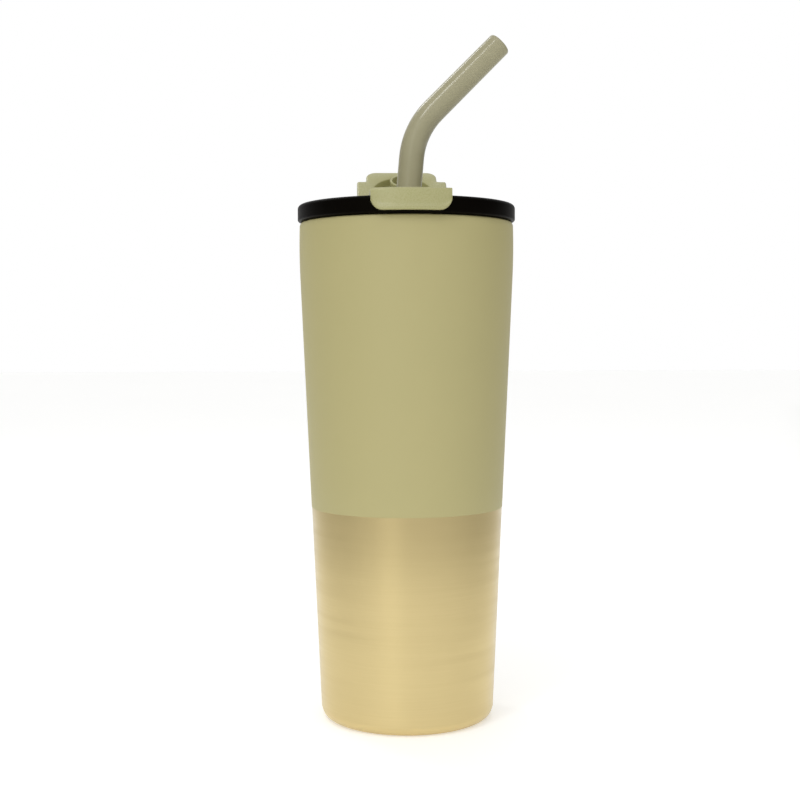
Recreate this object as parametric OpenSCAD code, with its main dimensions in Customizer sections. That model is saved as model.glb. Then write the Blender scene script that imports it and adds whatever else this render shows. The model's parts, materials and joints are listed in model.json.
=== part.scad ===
// Insulated tumbler: a vacuum-insulated steel cup with a press-in lid, a flip-back flap
// over the straw hole, and a steel straw that carries a bent silicone mouthpiece.
// Millimetres. The base stands on z = 0, +Z is up, the front tab points to -Y and the
// mouthpiece bends towards +X.

/* [Cup] */
// Height of the cup from the base to the top of its lip
cup_h = 206; // [160:0.1:260]
// Radius of the outer wall where its taper meets the base plane
base_r = 35.9; // [30:0.1:42]
// Radius of the outer wall at the lip
lip_r = 44.05; // [40:0.05:55]
// How much narrower the wall is at the foot of the shoulder than at the lip
shoulder_set = 0.1; // [0:0.05:1]
// Height of the rounded shoulder below the lip
shoulder_h = 22.4; // [10:0.1:35]
// Corner radius between the wall and the base
base_corner_r = 4.5; // [2:0.1:7]
// Thickness of the steel sheet
sheet_t = 0.8; // [0.5:0.1:1.5]
// Clear gap of the vacuum space between the two walls
vacuum_gap = 3; // [2:0.1:5]
// Radial width of the lip, from the mouth to the outer wall
lip_w = 3.05; // [2.6:0.05:4]
// Depth of the straight mouth that takes the lid
mouth_depth = 18; // [12:0.5:30]
// Height of the drinking floor above the base plane
floor_z = 9; // [7:0.5:16]
// Corner radius of the drinking floor
floor_corner_r = 6; // [3:0.5:10]
// Width of the turned-in foot ring that the cup stands on
foot_w = 1.6; // [1:0.1:4]
// Height of the recessed bottom plate above the base plane
recess_h = 1.6; // [1:0.1:3]

/* [Vacuum parts] */
// Radius of the glass bead that seals the pumping hole
seal_r = 3.4; // [2:0.1:5]
// Thickness of the glass bead
seal_t = 0.8; // [0.5:0.1:1.5]
// Radius of the getter tablet
getter_r = 4; // [2.5:0.1:5]
// Thickness of the getter tablet
getter_t = 2; // [1:0.1:2.5]
// Distance of the getter from the centre of the base
getter_x = 15; // [10:0.5:20]
// Thickness of the copper radiation foil
foil_t = 0.2; // [0.1:0.05:0.5]

/* [Lid] */
// How far the lid rim stands out past the lip
rim_over = 0.95; // [0.5:0.05:3]
// Height of the lid rim, from its lower edge to its top
rim_h = 6.8; // [5:0.1:12]
// Width of the lid rim, seen from above
rim_w = 3.4; // [2.5:0.1:6]
// Gap below the rim's lower edge, above the lip plane
rim_gap = 0.4; // [0.3:0.1:1.5]
// Depth of the deck below the top of the rim
deck_depth = 4.2; // [3:0.1:5.5]
// Thickness of the deck
deck_t = 2; // [1.5:0.1:3]
// Depth of the skirt that presses into the mouth
skirt_h = 16; // [10:0.5:26]
// Thickness of the skirt
skirt_t = 2.4; // [2.2:0.1:3.5]
// Radial clearance between the skirt and the mouth
skirt_clear = 0.4; // [0.3:0.05:0.6]
// Radial clearance between the gasket at rest and the mouth
gasket_clear = 0.3; // [0.3:0.05:0.4]
// Height of the gasket
gasket_h = 4; // [3:0.1:6]
// Depth of the gasket groove
groove_depth = 1.4; // [0.8:0.1:1.6]
// Thickness of the liner plate that closes the air space under the deck
liner_t = 1.6; // [1:0.1:2.5]
// Distance of the vent valve from the centre line, to the left
vent_x = 27; // [24:0.5:29]
// Radius of the vent valve's cap
vent_r = 4; // [3:0.1:5]

/* [Deck bar and tab] */
// Width of the deck bar and of its front tab
bar_w = 31.4; // [26:0.1:36]
// Height of the bar above the top of the rim
bar_rise = 2.6; // [2:0.1:5]
// Thickness of the tab that hangs outside the rim
tab_t = 1.8; // [1.2:0.1:3]
// Length of the tab from the bar's top to its lower edge
tab_h = 8.6; // [6:0.1:11]
// Corner radius of the tab's lower corners
tab_corner_r = 4.8; // [1:0.1:6]
// How far the tab's lower lip flares out
tab_flare = 0.8; // [0:0.1:1.5]

/* [Flap] */
// Distance of the hinge axis behind the centre line
hinge_y = 18.6; // [16:0.1:24]
// Height of the hinge axis below the top of the bar
hinge_drop = 2.8; // [2.4:0.1:4]
// Radius of the hinge pin
pin_r = 1.25; // [1:0.05:1.6]
// Radius of the hinge knuckles
knuckle_r = 2.8; // [2.4:0.1:3.4]
// Width of the middle knuckle on the deck bar
knuckle_w = 17; // [10:0.5:20]
// Angle of the open flap above the horizontal
flap_rest = 35; // [25:1:60]
// Thickness of the flap
flap_t = 5.4; // [4:0.1:6.5]
// Width of the flap's wide part
flap_w = 40.2; // [36:0.1:46]
// Length of the flap's wide part, from the hinge
flap_wide_len = 32.4; // [28:0.1:36]
// Width of the flap's tongue
tongue_w = 31.8; // [24:0.1:34]
// Length of the flap from the hinge to the tongue's tip
flap_len = 41; // [38:0.1:44]
// Thickness of the tongue
tongue_t = 2.2; // [1.5:0.1:3]
// Radius of the hollow in the flap's underside
hollow_r = 13.2; // [10:0.1:14]
// Depth of that hollow
hollow_depth = 3.8; // [2:0.1:4]
// How much wider than the straw the ring plug is, on the radius
plug_over = 1.3; // [1:0.1:2]
// Radial clearance of the ring plug in the grommet's seat
plug_clear = 0.25; // [0.1:0.05:0.5]
// Wall of the ring plug
plug_wall = 1.1; // [0.8:0.1:2]
// How far the ring plug stands proud of the flap's underside
plug_proud = 2; // [1:0.1:2.4]

/* [Straw] */
// Distance of the straw hole in front of the centre line
straw_y = 11; // [8:0.1:14]
// Lean of the straw from the vertical, towards +X
straw_lean = 5; // [0:0.5:6]
// Radius of the steel straw
tube_r = 4; // [3:0.1:4.8]
// Wall of the steel straw
tube_wall = 0.5; // [0.3:0.1:0.8]
// Clear height between the straw's lower end and the drinking floor
straw_foot_gap = 9; // [2:0.5:14]
// Radial running clearance of the straw in its grommet and in the mouthpiece
run_clear = 0.06; // [0.03:0.01:0.1]
// Wall of the silicone grommet below its seat
grommet_wall = 2.6; // [2.4:0.1:4]
// Thickness of the grommet's top flange
grommet_flange_t = 1; // [0.8:0.1:2]
// Wall of the silicone stop ring on the straw
stop_wall = 0.9; // [0.6:0.1:1]

/* [Mouthpiece] */
// Wall of the mouthpiece where it grips the straw
mouth_wall = 1.04; // [0.8:0.02:2]
// How much the mouthpiece narrows towards its tip, on the radius
mouth_taper = 0.15; // [0:0.05:0.6]
// Straight length from the pivot of the straw to the start of the bend
bend_start = 19.5; // [16:0.5:30]
// Radius of the bend's centre line
bend_r = 31; // [20:0.5:45]
// Angle of the bend
bend_angle = 40; // [15:1:70]
// Straight length above the bend
tip_len = 38.7; // [20:0.5:60]
// Radius of the drinking channel
channel_r = 3; // [2:0.1:3.5]

/* [Hidden] */
$fn = 96;

// Hairline left where two sheets are welded, so that they share no volume
weld = 0.02;
// How far a cutting tool runs past the face that it cuts
past = 1;

// Outer wall: a cone that ends in a gently rounded shoulder below the lip
shoulder_r = lip_r - shoulder_set;
shoulder_z = cup_h - shoulder_h;
taper = (shoulder_r - base_r) / shoulder_z;
shoulder_k = (shoulder_r + taper * shoulder_h - lip_r) / pow(shoulder_h, 2);
function cone_r(z) = base_r + taper * z;
function arch_r(t) = shoulder_r + taper * t - shoulder_k * t * t;
function wall_r(z) = z <= shoulder_z ? cone_r(z) : arch_r(z - shoulder_z);
wall_zs = concat([for (k = [0 : 3]) base_corner_r + k * (shoulder_z - base_corner_r) / 3],
                 [for (k = [1 : 7]) shoulder_z + k * shoulder_h / 7]);

// Radii and heights shared by the cup's parts
shell_top = cup_h - sheet_t;
mouth_r = lip_r - lip_w;
foot_r = base_r - base_corner_r;
plate_r = foot_r - foot_w;
plate_top = recess_h + sheet_t;
dimple_z = recess_h + seal_t;
vessel_in = sheet_t + vacuum_gap + sheet_t;
mouth_z = cup_h - mouth_depth;
neck_z = mouth_z - 4;
dish_z = floor_z + sheet_t + floor_corner_r + 2;

// Lid heights, from the lip plane up
seat_z = cup_h;
rim_r = lip_r + rim_over;
rim_bottom = seat_z + rim_gap;
rim_top = rim_bottom + rim_h;
rim_in = rim_r - rim_w;
deck_top = rim_top - deck_depth;
deck_bottom = deck_top - deck_t;
skirt_r = mouth_r - skirt_clear;
skirt_in = skirt_r - skirt_t;
skirt_bottom = seat_z - skirt_h;
gasket_z = skirt_bottom + 5;
gasket_in = skirt_r - groove_depth;

// Deck bar
bar_top = rim_top + bar_rise;
tab_in = rim_r + 0.25;
tab_out = tab_in + tab_t;
over_rim = rim_top + 0.1;
hinge_z = bar_top - hinge_drop;
bar_back = hinge_y - knuckle_r - 0.6;

// Flap, drawn closed: u runs forward from the hinge axis, w runs up from it
under_w = hinge_drop + 0.3;
top_w = under_w + flap_t;
lug_gap = 0.3;
heel_gap = 0.1;
lug_in = knuckle_w / 2 + lug_gap;
lug_out = bar_w / 2;
pin_len = 2 * lug_out - 0.4;
plug_r = tube_r + plug_over;
plug_u = hinge_y + straw_y;
hollow_u = plug_u - (hollow_r - plug_r) + 0.8;
thick_len = hollow_u + hollow_r + 1.6;

// Straw, drawn along its own axis from the pivot inside the grommet
pivot_z = bar_top - 3.8;
grommet_r = tube_r + grommet_wall;
grommet_top = bar_top + grommet_flange_t;
plug_seat_r = plug_r + plug_clear;
plug_seat_z = hinge_z + under_w - plug_proud - 0.1;
mouth_r0 = tube_r + run_clear + mouth_wall;
mouth_r1 = mouth_r0 - mouth_taper;
stop_r = tube_r + stop_wall;
lean_rise = mouth_r0 * sin(straw_lean) + 0.2;
stop_s = plug_seat_z - pivot_z + lean_rise;
foot_s = grommet_top - pivot_z + lean_rise;
stop_h = foot_s - stop_s - 0.1;
straw_low = (pivot_z - floor_z - sheet_t - straw_foot_gap) / cos(straw_lean);
tube_top = bend_start - 3;
sleeve_r = tube_r + 3.4;
sleeve_x = -(pivot_z - (skirt_bottom + deck_bottom) / 2) * tan(straw_lean);

// Where the straw's axis runs, for anything that rides on it or is bored for it
module on_straw() {
    translate([0, -straw_y, pivot_z]) rotate([0, straw_lean, 0]) children();
}

// From the flap's closed drawing to its rest pose, open and leaning back over the rim
module flap_open() {
    translate([0, hinge_y, hinge_z]) rotate([-(180 - flap_rest), 0, 0]) children();
}

// A solid of revolution from points given as [radius, height]
module lathe(points) {
    rotate_extrude() polygon(points);
}

// Points on a quarter arc about [cx, cz], from angle a0 to a1
function arc(cx, cz, r, a0, a1, n = 6) =
    [for (k = [0 : n]) let (a = a0 + (a1 - a0) * k / n) [cx + r * cos(a), cz + r * sin(a)]];

// Pressed outer wall with the corner that turns in to the foot ring
module outer_shell() {
    outside = concat(arc(foot_r, base_corner_r, base_corner_r, -90, 0),
                     [for (z = wall_zs) if (z > base_corner_r && z < shell_top) [wall_r(z), z]],
                     [[wall_r(shell_top), shell_top]]);
    inside = concat([[wall_r(shell_top) - sheet_t, shell_top]],
                    [for (k = [len(wall_zs) - 1 : -1 : 0]) let (z = wall_zs[k])
                        if (z > base_corner_r && z < shell_top) [wall_r(z) - sheet_t, z]],
                    arc(foot_r, base_corner_r, base_corner_r - sheet_t, 0, -90),
                    [[plate_r, sheet_t], [plate_r, 0]]);
    color([0.70, 0.67, 0.49]) lathe(concat(outside, inside));
}

// Recessed bottom plate, with a dimple and a pumping hole in its middle
module base_plate() {
    rim_in_r = plate_r - weld - sheet_t;
    dimple_r = seal_r + weld;
    color([0.78, 0.75, 0.66]) lathe([
        [0.5, dimple_z], [dimple_r, dimple_z], [dimple_r, recess_h],
        [rim_in_r, recess_h], [rim_in_r, 0.3], [plate_r - weld, 0.3],
        [plate_r - weld, plate_top], [dimple_r + sheet_t, plate_top],
        [dimple_r + sheet_t, dimple_z + sheet_t], [0.5, dimple_z + sheet_t]]);
}

// Thin stamped disc that covers the pumping hole from below
module base_cap() {
    cap_r = plate_r - weld - sheet_t - 0.5;
    color([0.78, 0.75, 0.66]) lathe([
        [0, 0.5], [cap_r - 1, 0.5], [cap_r, 0.9], [cap_r, recess_h], [cap_r - 3, recess_h],
        [cap_r - 3.6, 1.1], [0, 1.1]]);
}

// Glass bead melted into the dimple
module vacuum_seal() {
    color([0.25, 0.27, 0.3]) translate([0, 0, recess_h]) cylinder(h = seal_t, r = seal_r);
}

// Getter tablet on the vacuum side of the bottom plate
module getter() {
    color([0.45, 0.44, 0.42]) translate([getter_x, 0, plate_top]) cylinder(h = getter_t, r = getter_r);
}

// Spot-welded cup that holds the getter down
module getter_clip() {
    clip_r = getter_r + 0.05;
    color([0.75, 0.75, 0.75]) translate([getter_x, 0, plate_top]) lathe([
        [clip_r, 0], [clip_r + 2, 0], [clip_r + 2, 0.3], [clip_r + 0.4, 0.3],
        [clip_r + 0.4, getter_t + 0.4], [getter_r - 1.2, getter_t + 0.4],
        [getter_r - 1.2, getter_t + 0.05], [clip_r, getter_t + 0.05]]);
}

// Inner wall, from the weld on the dish up to the mouth and out over the lip
module inner_vessel() {
    low_r = wall_r(dish_z) - vessel_in;
    neck_r = wall_r(neck_z) - vessel_in;
    color([0.80, 0.79, 0.74]) lathe(concat(
        [[low_r, dish_z], [neck_r, neck_z], [mouth_r, mouth_z], [mouth_r, cup_h - 0.4],
         [mouth_r + 0.4, cup_h], [lip_r - 0.4, cup_h], [lip_r, cup_h - 0.4], [lip_r, shell_top],
         [mouth_r + sheet_t, shell_top], [mouth_r + sheet_t, mouth_z],
         [neck_r + sheet_t, neck_z], [low_r + sheet_t, dish_z]]));
}

// Dished drinking floor, welded to the inner wall
module inner_bottom() {
    rim_r0 = wall_r(dish_z) - vessel_in;
    corner = floor_corner_r;
    cx = rim_r0 - 0.3 - corner;
    color([0.80, 0.79, 0.74]) lathe(concat(
        [[0, floor_z], [cx, floor_z]],
        arc(cx, floor_z + sheet_t + corner, corner + sheet_t, -90, 0),
        [[rim_r0 + sheet_t, dish_z], [rim_r0, dish_z]],
        arc(cx, floor_z + sheet_t + corner, corner, 0, -90),
        [[0, floor_z + sheet_t]]));
}

// Copper foil wrapped round the inner wall to turn back radiant heat
module copper_foil() {
    z0 = dish_z + 3;
    z1 = neck_z - 3;
    r0 = wall_r(z0) - sheet_t - vacuum_gap + 0.15;
    r1 = wall_r(z1) - sheet_t - vacuum_gap + 0.15;
    color([0.75, 0.45, 0.3]) lathe([[r0, z0], [r0 + foil_t, z0], [r1 + foil_t, z1], [r1, z1]]);
}

// Black lid: rim, recessed deck and the skirt with its gasket groove
module lid_body() {
    outer_edge = 1.7;
    edge = 0.8;
    color([0.04, 0.04, 0.04]) difference() {
        lathe(concat(
            [[0, deck_bottom], [skirt_in, deck_bottom], [skirt_in, skirt_bottom],
             [skirt_r - 0.6, skirt_bottom], [skirt_r, skirt_bottom + 0.6],
             [skirt_r, gasket_z], [gasket_in, gasket_z], [gasket_in, gasket_z + gasket_h],
             [skirt_r, gasket_z + gasket_h], [skirt_r, seat_z],
             [lip_r - 0.6, seat_z], [lip_r - 0.2, rim_bottom]],
            arc(rim_r - edge, rim_bottom + edge, edge, -90, 0),
            arc(rim_r - outer_edge, rim_top - outer_edge, outer_edge, 0, 90),
            arc(rim_in + edge, rim_top - edge, edge, 90, 180),
            [[rim_in, deck_top], [0, deck_top]]));
        // grommet seat and vent hole
        translate([0, -straw_y, deck_bottom - past]) cylinder(h = deck_t + 2 * past, r = grommet_r);
        translate([-vent_x, 0, deck_bottom - past]) cylinder(h = deck_t + 2 * past, r = vent_r / 2);
    }
}

// Liner plate under the deck, with tubes that carry the straw and the vent through the air space
module lid_liner() {
    liner_r = skirt_in - 0.1;
    top = deck_bottom - 0.1;
    color([0.1, 0.1, 0.1]) difference() {
        union() {
            translate([0, 0, skirt_bottom]) cylinder(h = liner_t, r = liner_r);
            translate([sleeve_x, -straw_y, skirt_bottom])
                cylinder(h = top - skirt_bottom - 1.4, r = sleeve_r + 1.2);
            translate([-vent_x, 0, skirt_bottom]) cylinder(h = top - skirt_bottom, r = vent_r / 2 + 2);
        }
        translate([sleeve_x, -straw_y, skirt_bottom - 1]) cylinder(h = skirt_h + 4, r = sleeve_r);
        translate([-vent_x, 0, skirt_bottom - 1]) cylinder(h = skirt_h + 4, r = vent_r / 2 + 0.6);
    }
}

// Silicone ring in the skirt's groove, with two wiping lips
module lid_gasket() {
    lip = mouth_r - gasket_clear;
    core = skirt_r - 0.3;
    h = gasket_h - 0.1;
    color([0.75, 0.75, 0.72]) translate([0, 0, gasket_z + 0.05]) lathe([
        [gasket_in + 0.05, 0], [core, 0], [lip, 0.8], [lip, 1.2], [core, 1.6],
        [core, h - 1.6], [lip, h - 1.2], [lip, h - 0.8], [core, h], [gasket_in + 0.05, h]]);
}

// Outline of the front tab, seen from the front
module tab_outline() {
    translate([-bar_w / 2, 0]) hull() {
        translate([0, tab_corner_r]) square([bar_w, tab_h - tab_corner_r]);
        translate([tab_corner_r, tab_corner_r]) circle(r = tab_corner_r);
        translate([bar_w - tab_corner_r, tab_corner_r]) circle(r = tab_corner_r);
    }
}

// Bar across the deck: it passes over the rim as the front tab and holds the hinge at the back
module deck_bar() {
    color([0.69, 0.68, 0.52]) difference() {
        union() {
            // body on the deck, inside the rim
            intersection() {
                translate([-bar_w / 2, -rim_r, deck_top])
                    cube([bar_w, rim_r + bar_back, bar_top - deck_top]);
                translate([0, 0, deck_top]) cylinder(h = bar_top - deck_top, r = rim_in - 0.2);
            }
            // slab over the rim
            intersection() {
                translate([-bar_w / 2, -tab_out, over_rim])
                    cube([bar_w, tab_out, bar_top - over_rim]);
                translate([0, 0, over_rim]) cylinder(h = bar_top - over_rim, r = tab_out);
            }
            // tab outside the rim, with a flared lower lip
            intersection() {
                translate([0, 0, bar_top - tab_h]) difference() {
                    union() {
                        cylinder(h = tab_h, r = tab_out);
                        cylinder(h = 2.2, r1 = tab_out + tab_flare, r2 = tab_out);
                    }
                    translate([0, 0, -past]) cylinder(h = tab_h + 2 * past, r = tab_in);
                }
                translate([0, 0, bar_top - tab_h]) rotate([90, 0, 0])
                    linear_extrude(height = tab_out + 5) tab_outline();
            }
            // hinge knuckle and its web
            translate([-knuckle_w / 2, hinge_y, hinge_z]) rotate([0, 90, 0])
                cylinder(h = knuckle_w, r = knuckle_r);
            translate([-knuckle_w / 2, bar_back - 1, deck_top])
                cube([knuckle_w, hinge_y - bar_back + 1, hinge_z - deck_top]);
        }
        translate([0, -straw_y, deck_top - past])
            cylinder(h = bar_top - deck_top + 2 * past, r = grommet_r);
        translate([-bar_w, hinge_y, hinge_z]) rotate([0, 90, 0]) cylinder(h = 2 * bar_w, r = pin_r + 0.01);
    }
}

// Silicone grommet that snaps through the bar and the deck and grips the straw
module straw_grommet() {
    body_r = grommet_r - 0.02;
    color([0.72, 0.71, 0.58]) difference() {
        translate([0, -straw_y, 0]) lathe([
            [0, deck_bottom - 1.2], [body_r + 0.2, deck_bottom - 1.2], [body_r + 0.8, deck_bottom - 0.02],
            [body_r, deck_bottom - 0.02], [body_r, bar_top], [body_r + 1.4, bar_top],
            [body_r + 1.4, grommet_top - 0.5], [body_r + 0.9, grommet_top], [0, grommet_top]]);
        on_straw() translate([0, 0, -20]) cylinder(h = 40, r = tube_r + run_clear);
        translate([0, -straw_y, plug_seat_z]) cylinder(h = 10, r = plug_seat_r);
    }
}

// Silicone umbrella valve that lets air in as the cup is emptied
module vent_valve() {
    stem_r = vent_r / 2 - 0.05;
    color([0.1, 0.1, 0.1]) translate([-vent_x, 0, 0]) lathe([
        [0.6, deck_bottom - 1.5], [stem_r, deck_bottom - 1.5], [stem_r + 0.5, deck_bottom - 0.3],
        [stem_r, deck_bottom - 0.3], [stem_r, deck_top], [vent_r, deck_top],
        [vent_r, deck_top + 0.4], [vent_r - 1, deck_top + 1], [0.6, deck_top + 1]]);
}

// Steel pin through the knuckles
module hinge_pin() {
    color([0.7, 0.7, 0.7]) translate([-pin_len / 2, hinge_y, hinge_z]) rotate([0, 90, 0])
        cylinder(h = pin_len, r = pin_r);
}

// Outline of the flap's wide part and tongue, u along +Y here
module flap_outline() {
    wide_r = 2;
    tip_r = 4.5;
    back_u = knuckle_r + 1.6;
    hull() {
        for (s = [-1, 1]) translate([s * (flap_w / 2 - wide_r), back_u + wide_r]) circle(r = wide_r);
        for (s = [-1, 1]) translate([s * (flap_w / 2 - 0.5), flap_wide_len - 0.5]) circle(r = 0.5);
    }
    hull() {
        translate([-tongue_w / 2, flap_wide_len - 2]) square([tongue_w, 1]);
        for (s = [-1, 1]) translate([s * (tongue_w / 2 - tip_r), flap_len - tip_r]) circle(r = tip_r);
    }
}

// Side profile of the flap: full thickness past the hollow, then thinning to the tongue's tip
module flap_side() {
    polygon([[0, under_w], [flap_len + 1, under_w], [flap_len + 1, under_w + tongue_t],
             [flap_len, under_w + tongue_t], [thick_len, top_w], [0, top_w]]);
}

// Flap in its closed drawing, hinge axis on X, lying along -Y
module flap_closed() {
    difference() {
        union() {
            mirror([0, 1, 0]) intersection() {
                translate([0, 0, under_w]) linear_extrude(height = flap_t) flap_outline();
                translate([-flap_w, 0, 0]) rotate([90, 0, 90])
                    linear_extrude(height = 2 * flap_w) flap_side();
            }
            // lugs that reach back to the pin
            for (s = [-1, 1]) translate([s > 0 ? lug_in : -lug_out, 0, 0]) {
                rotate([0, 90, 0]) cylinder(h = lug_out - lug_in, r = knuckle_r);
                translate([0, -knuckle_r - 2.6, 0]) cube([lug_out - lug_in, knuckle_r + 2.6, under_w + 1.6]);
            }
        }
        // hollow in the underside, with a round end towards the tip
        translate([0, -hollow_u, under_w - past]) cylinder(h = hollow_depth + past, r = hollow_r);
        translate([-hollow_r, -hollow_u, under_w - past])
            cube([2 * hollow_r, hollow_u - knuckle_r - 4, hollow_depth + past]);
        // pin hole
        rotate([0, 90, 0]) translate([0, 0, -flap_w]) cylinder(h = 2 * flap_w, r = pin_r + run_clear);
    }
}

// Flap at rest, with the flat at its heel that lands on the deck and stops it open
module flap_shell() {
    color([0.69, 0.68, 0.52]) difference() {
        flap_open() flap_closed();
        translate([-flap_w, 0, deck_top - 20]) cube([2 * flap_w, 2 * rim_r, 20 + heel_gap]);
    }
}

// Hollow silicone plug that closes the straw hole when the flap is shut and the straw is out
module flap_plug() {
    plug_cap_t = 1.4;
    color([0.72, 0.71, 0.56]) flap_open() translate([0, -plug_u, 0]) difference() {
        translate([0, 0, under_w - plug_proud]) cylinder(h = hollow_depth + plug_proud, r = plug_r);
        translate([0, 0, under_w - plug_proud - past])
            cylinder(h = hollow_depth + plug_proud + past - plug_cap_t, r = plug_r - plug_wall);
    }
}

// Straight steel straw
module straw_tube() {
    color([0.75, 0.75, 0.72]) on_straw() difference() {
        translate([0, 0, -straw_low]) cylinder(h = straw_low + tube_top, r = tube_r);
        translate([0, 0, -straw_low - past])
            cylinder(h = straw_low + tube_top + 2 * past, r = tube_r - tube_wall);
    }
}

// Silicone stop ring that keeps the straw from dropping through the grommet
module straw_stop() {
    color([0.66, 0.64, 0.5]) on_straw() translate([0, 0, stop_s]) lathe([
        [tube_r + 0.01, 0], [stop_r - 0.4, 0], [stop_r, 0.4], [stop_r, stop_h],
        [tube_r + 0.01, stop_h]]);
}

// Top of the bend, looking along the mouthpiece's last straight length
module at_bend_end() {
    translate([bend_r * (1 - cos(bend_angle)), 0, bend_start + bend_r * sin(bend_angle)])
        rotate([0, bend_angle, 0]) children();
}

// Round bar of radius r along the bend
module bend_run(r) {
    translate([bend_r, 0, bend_start]) rotate([-90, 0, 0]) rotate([0, 0, 180])
        rotate_extrude(angle = bend_angle) translate([bend_r, 0]) circle(r = r);
}

// Silicone mouthpiece, swivelling on the top of the straw
module mouthpiece() {
    tip_edge = 1.2;
    tube_end_gap = 0.4;
    // the three runs lap by a hair and differ by a hair in radius, so that they fuse into one solid
    lap = 0.05;
    step = 0.02;
    color([0.62, 0.60, 0.48]) on_straw() difference() {
        union() {
            translate([0, 0, foot_s]) cylinder(h = bend_start - foot_s + lap, r = mouth_r0);
            bend_run(mouth_r0 - step);
            at_bend_end() lathe(concat([[0, -lap], [mouth_r0, -lap]],
                arc(mouth_r1 - tip_edge, tip_len - tip_edge, tip_edge, 0, 90), [[0, tip_len]]));
        }
        translate([0, 0, foot_s - past])
            cylinder(h = tube_top + tube_end_gap - foot_s + past, r = tube_r + run_clear);
        translate([0, 0, tube_top - past])
            cylinder(h = bend_start - tube_top + past + lap, r = channel_r);
        bend_run(channel_r + step);
        at_bend_end() translate([0, 0, -lap]) cylinder(h = tip_len + past, r = channel_r);
    }
}

outer_shell();
base_plate();
base_cap();
vacuum_seal();
getter();
getter_clip();
inner_vessel();
inner_bottom();
copper_foil();
lid_body();
lid_liner();
lid_gasket();
deck_bar();
straw_grommet();
vent_valve();
hinge_pin();
flap_shell();
flap_plug();
straw_tube();
straw_stop();
mouthpiece();
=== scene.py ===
"""Insulated tumbler with a straw lid: a painted and brushed steel cup, a black press-in lid,
a pale green bar and flip flap, and a bent silicone mouthpiece on a steel straw."""

import json
import math

import bmesh
import bpy
from mathutils import Matrix, Vector


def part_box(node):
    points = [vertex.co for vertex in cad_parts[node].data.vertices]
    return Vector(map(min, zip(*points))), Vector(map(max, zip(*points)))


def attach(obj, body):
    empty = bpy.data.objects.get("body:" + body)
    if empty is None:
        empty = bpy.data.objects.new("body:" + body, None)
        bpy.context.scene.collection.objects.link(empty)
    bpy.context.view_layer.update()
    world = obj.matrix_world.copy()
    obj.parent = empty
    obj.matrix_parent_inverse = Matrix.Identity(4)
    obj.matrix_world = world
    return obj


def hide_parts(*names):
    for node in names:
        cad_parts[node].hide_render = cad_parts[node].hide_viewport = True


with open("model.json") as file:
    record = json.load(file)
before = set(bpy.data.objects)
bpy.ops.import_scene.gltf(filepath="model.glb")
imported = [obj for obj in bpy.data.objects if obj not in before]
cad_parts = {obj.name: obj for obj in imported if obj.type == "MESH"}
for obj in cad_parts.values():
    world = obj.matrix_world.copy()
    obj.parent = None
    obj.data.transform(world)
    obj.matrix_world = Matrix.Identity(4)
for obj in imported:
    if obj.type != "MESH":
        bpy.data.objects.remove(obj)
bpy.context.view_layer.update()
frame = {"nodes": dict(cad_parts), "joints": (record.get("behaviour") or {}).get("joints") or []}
NODES = frame["nodes"]
JOINTS = {joint["name"]: joint for joint in frame["joints"]}

MM = 0.001
AXIS_R = 0.001  # stands for zero radius, so that a lathe closes on its axis


# ---------------------------------------------------------------- sizes, in millimetres


def top(node):
    """Height of a node's highest point."""
    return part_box(node)[1].z / MM


def bottom(node):
    """Height of a node's lowest point."""
    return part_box(node)[0].z / MM


def reach(node):
    """Largest radius of a round node about the cup's axis."""
    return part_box(node)[1].x / MM


LIP_Z = top("inner_vessel")
RIM_TOP = top("lid_body")
RIM_R = reach("lid_body")
BAR_TOP = top("deck_bar")
BAR_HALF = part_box("deck_bar")[1].x / MM
TAB_BOTTOM = bottom("deck_bar")

# Cup wall: a straight taper with a gently rounded shoulder, as the frame has it
BASE_R = 35.9
SHOULDER_H = 22.4
SHOULDER_Z = LIP_Z - SHOULDER_H
SHOULDER_R = 43.95
LIP_R = 44.05
CORNER_R = 4.5
SHEET = 0.8
VACUUM = 3.0
MOUTH_R = 41.0
MOUTH_Z = LIP_Z - 18
NECK_Z = MOUTH_Z - 4
FLOOR_Z = bottom("inner_bottom")
DISH_Z = bottom("inner_vessel")

# Where the paint ends and the brushed metal starts
SEAM_Z = 88.2
PAINT_T = 0.12
# Height below the seam over which the metal's colour carries painted shade
SHADE_BELOW_SEAM = 38

# Lid
RIM_W = 3.4
RIM_BOTTOM = LIP_Z + 0.4
DECK_TOP = RIM_TOP - 4.2
DECK_BOTTOM = DECK_TOP - 2
SKIRT_R = MOUTH_R - 0.4
SKIRT_IN = SKIRT_R - 2.4
SKIRT_BOTTOM = bottom("lid_body")
GASKET_Z = SKIRT_BOTTOM + 5
GASKET_H = 4.0
GROMMET_R = 6.6
VENT_X = -27.0
VENT_R = 4.0

# Deck bar and its front tab
RIM_IN = RIM_R - RIM_W
TAB_IN = RIM_R + 0.25
TAB_OUT = TAB_IN + 1.8
TAB_CORNER = 4.8
BAR_BACK = 15.2

# Hinge and flap
HINGE = Vector(JOINTS["flap_hinge"]["pos_m"]) / MM
FLAP_REST = math.radians(35)
UNDER_W = 3.1
FLAP_T = 5.4
FLAP_HALF = 20.1
WIDE_LEN = 32.4
TONGUE_HALF = 15.9
FLAP_LEN = 41.0
TONGUE_T = 2.2
HEEL_U = 4.4
HOLLOW_R = 13.2
HOLLOW_U = 22.5
HOLLOW_DEPTH = 3.8
PLUG_U = 29.6
PLUG_R = 5.3
PLUG_WALL = 1.1
PLUG_PROUD = 2.0
KNUCKLE_R = 2.8
KNUCKLE_HALF = 8.5

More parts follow.
